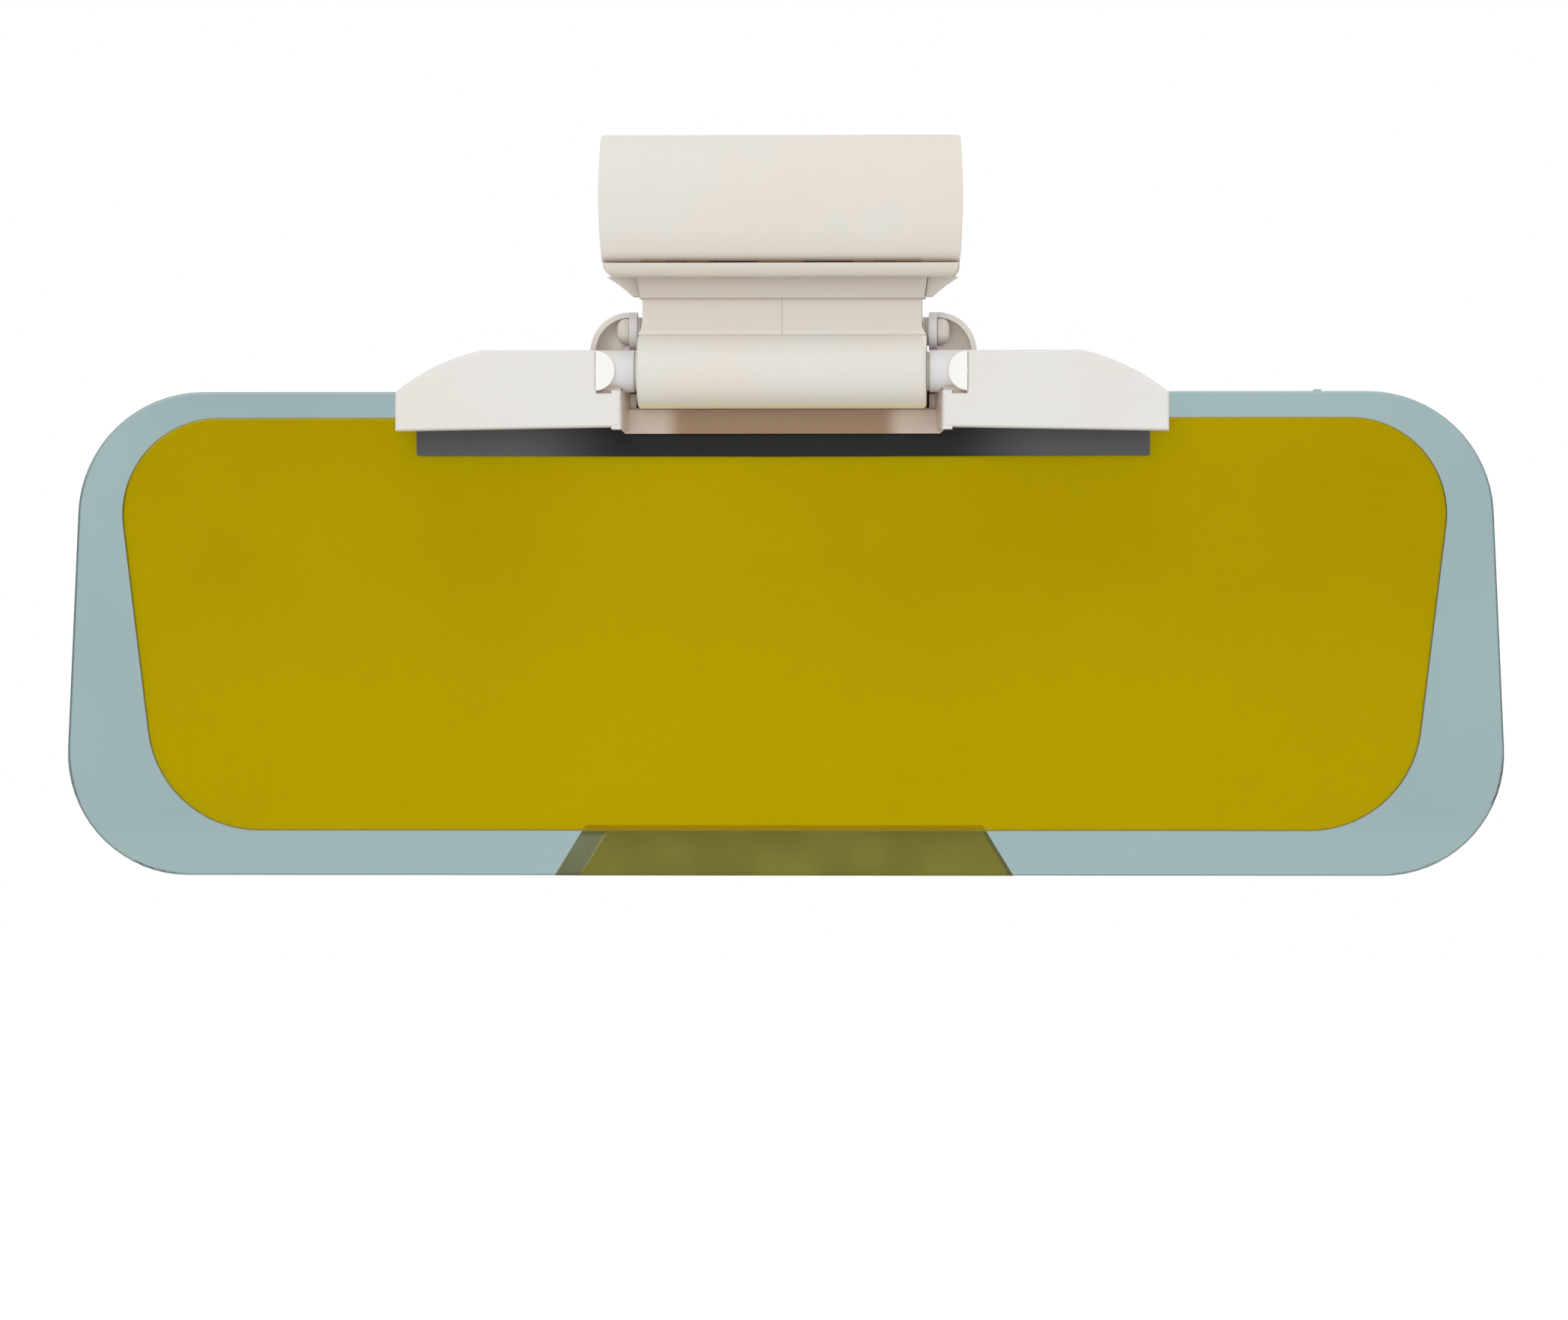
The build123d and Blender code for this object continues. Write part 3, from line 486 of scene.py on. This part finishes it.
def softRubber(name, look):
    surface = rubberSurface
    finish = Finish(name, {"IOR": surface["ior"]})
    if "ends" in look:
        # painted shade: the gasket darkens towards the middle, under the barrel
        fade = finish.between(abs(finish.x), look["fadeStart"], look["fadeEnd"])
        colour = finish.mix(fade, look["middle"], look["ends"])
    else:
        colour = finish.mix(finish.noise(surface["wornSize"], 3.0), look["colour"], look["worn"])
    finish.set("Base Color", colour)
    patches = finish.noise(surface["patchSize"], 3.0) * surface["patchRough"]
    finish.set("Roughness", patches + look["roughness"])
    finish.set("Normal", finish.bump(finish.noise(surface["grainSize"], 3.0), surface["grainDeep"]))
    return finish.material


def turnedSteel(name, look):
    surface = steelSurface
    finish = Finish(name, {"Metallic": 1.0})
    rings = finish.noise(surface["ringSize"], 2.0, 0.5, surface["ringStretch"])
    dulled = finish.noise(surface["dullSize"], 3.0)
    finish.set("Base Color", finish.mix(dulled, look["colour"], look["dull"]))
    finish.set("Roughness", rings * surface["ringRough"] + look["roughness"])
    finish.set("Normal", finish.bump(rings, surface["ringDeep"]))
    return finish.material


finishes = {
    "clip_plastic": satinPlastic("clipPlastic", clipPlasticLook),
    "holder_plastic": satinPlastic("holderPlastic", holderPlasticLook),
    "clamp_bar_plastic": satinPlastic("clampBarPlastic", barPlasticLook),
    "day_tint": tintedAcrylic("dayTint", dayTintLook, palerBelow),
    "night_tint": tintedAcrylic("nightTint", nightTintLook, palerBelow),
    "tab_tint": tintedAcrylic("tabTint", tabTintLook, bevelPaintedLight),
    "pad_rubber": softRubber("padRubber", {
        "colour": screenColour(88, 88, 90), "worn": screenColour(100, 99, 99), "roughness": 0.5}),
    "gasket_rubber": softRubber("gasketRubber", gasketShadedLook),
    "pin_steel": turnedSteel("pinSteel", {
        "colour": screenColour(192, 192, 194), "dull": screenColour(172, 171, 170), "roughness": 0.18}),
    "screw_steel": turnedSteel("screwSteel", {
        "colour": screenColour(200, 202, 206), "dull": screenColour(176, 178, 184), "roughness": 0.22}),
    "spring_steel": turnedSteel("springSteel", {
        "colour": screenColour(150, 150, 156), "dull": screenColour(128, 126, 126), "roughness": 0.22}),
    "bush_nylon": softRubber("bushNylon", {
        "colour": screenColour(228, 226, 216), "worn": screenColour(220, 215, 202), "roughness": 0.35}),
}
for part in frame["record"]["subparts"]:
    mesh = nodes[part["node"]].data
    mesh.materials.clear()
    mesh.materials.append(finishes[part["material_slot"]])
# the collar gets the shaded copy, painted shade
nodes["neck_collar"].data.materials[0] = satinPlastic("collarShadedPlastic", shadedCollarLook)
print("finishes are on the parts")


# ---- rubber grips between the clip's jaws ----
gripSetup = {
    "rear_jaw_pad": {"body": "clamp", "faces": -1, "ribs": 11},
    "front_jaw_pad": {"body": "front_jaw", "faces": 1, "ribs": 9},
}
gripShape = {
    "margin": 2.0 * mm,      # the plain border round the ribs
    "grooveDeep": 0.7 * mm, "grooveShare": 0.4,
    "cornerRadius": 2.5 * mm, "edgeRadius": 0.25 * mm,
    "fieldSlack": 0.1 * mm,  # how far past the ribbed field a groove's corners may lie
    "sharpAbove": 40,        # degrees between faces that keep an edge
}


def choose(mesh, kind, test):
    # deselects everything, then selects the edges or faces that pass the test
    bpy.ops.mesh.select_mode(type=kind)
    bpy.ops.mesh.select_all(action="DESELECT")
    work = bmesh.from_edit_mesh(mesh)
    for element in {"EDGE": work.edges, "FACE": work.faces}[kind]:
        if test(element):
            element.select_set(True)
    work.select_flush_mode()
    bmesh.update_edit_mesh(mesh)


def makeGrip(node, setup, shape):
    low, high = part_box(node)
    centre, size = (low + high) / 2, high - low
    faces = setup["faces"]
    bpy.ops.object.select_all(action="DESELECT")
    bpy.ops.mesh.primitive_cube_add(size=1, location=centre)
    grip = bpy.context.object
    grip.name = node.replace("_jaw_pad", "JawGrip")
    grip.scale = size
    bpy.ops.object.transform_apply(location=True, rotation=True, scale=True)
    bpy.ops.object.mode_set(mode="EDIT")
    choose(grip.data, "EDGE",
           lambda edge: abs(edge.verts[0].co.y - edge.verts[1].co.y) > size.y / 2)
    bpy.ops.mesh.bevel(offset=shape["cornerRadius"], segments=6)
    # the ribbed field is an inset of the gripping face, cut into strips
    choose(grip.data, "FACE", lambda face: face.normal.y * faces > 0.9)
    bpy.ops.mesh.inset(thickness=shape["margin"], depth=0)
    fieldLow, fieldHigh = low.z + shape["margin"], high.z - shape["margin"]
    pitch = (fieldHigh - fieldLow) / setup["ribs"]
    cuts = []
    for rib in range(setup["ribs"] - 1):
        middle = fieldLow + (rib + 1) * pitch
        half = pitch * shape["grooveShare"] / 2
        cuts.append((middle - half, middle + half))
    for cut in cuts:
        for height in cut:
            bpy.ops.mesh.select_all(action="SELECT")
            bpy.ops.mesh.bisect(plane_co=(0, 0, height), plane_no=(0, 0, 1))
    reach = size.x / 2 - shape["margin"] + shape["fieldSlack"]
    choose(grip.data, "FACE", lambda face: face.normal.y * faces > 0.9
           and max(abs(corner.co.x) for corner in face.verts) < reach
           and any(cut[0] < face.calc_center_median().z < cut[1] for cut in cuts))
    bpy.ops.mesh.extrude_region_move(
        TRANSFORM_OT_translate={"value": (0, -faces * shape["grooveDeep"], 0)})
    bpy.ops.mesh.select_all(action="SELECT")
    bpy.ops.mesh.normals_make_consistent(inside=False)
    bpy.ops.object.mode_set(mode="OBJECT")
    rounding = grip.modifiers.new("rounding", "BEVEL")
    rounding.width = shape["edgeRadius"]
    rounding.segments = 2
    rounding.limit_method = "ANGLE"
    rounding.angle_limit = math.radians(shape["sharpAbove"])
    bpy.ops.object.modifier_apply(modifier="rounding")
    bpy.ops.object.shade_smooth_by_angle(angle=math.radians(shape["sharpAbove"]))
    grip.data.materials.append(finishes["pad_rubber"])
    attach(grip, setup["body"])
    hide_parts(node)
    return grip


for node, setup in gripSetup.items():
    grip = makeGrip(node, setup, gripShape)
    print("made", grip.name, "with", len(grip.data.polygons), "faces")


# ---- jaw springs: torsion springs, copied, merged and smooth-shaded ----
springSetup = {
    "mergeWithin": 0.01 * mm,
    "smoothBelow": 50,       # degrees between faces
    "legWide": 1.0 * mm,     # the straight part of each leg, past the coil's end
}


def makeSpring(node, setup):
    wound = nodes[node].copy()
    wound.data = nodes[node].data.copy()
    wound.name = node.replace("jaw_spring_", "jawSpring") + "Wound"
    bpy.context.scene.collection.objects.link(wound)
    wound.parent = None
    bpy.ops.object.select_all(action="DESELECT")
    wound.select_set(True)
    bpy.context.view_layer.objects.active = wound
    bpy.ops.object.mode_set(mode="EDIT")
    bpy.ops.mesh.select_all(action="SELECT")
    bpy.ops.mesh.remove_doubles(threshold=setup["mergeWithin"])
    bpy.ops.object.mode_set(mode="OBJECT")
    bpy.ops.object.shade_smooth_by_angle(angle=math.radians(setup["smoothBelow"]))
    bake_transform(wound)
    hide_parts(node)
    return wound


for node in ("jaw_spring_left", "jaw_spring_right"):
    print("made", makeSpring(node, springSetup).name)
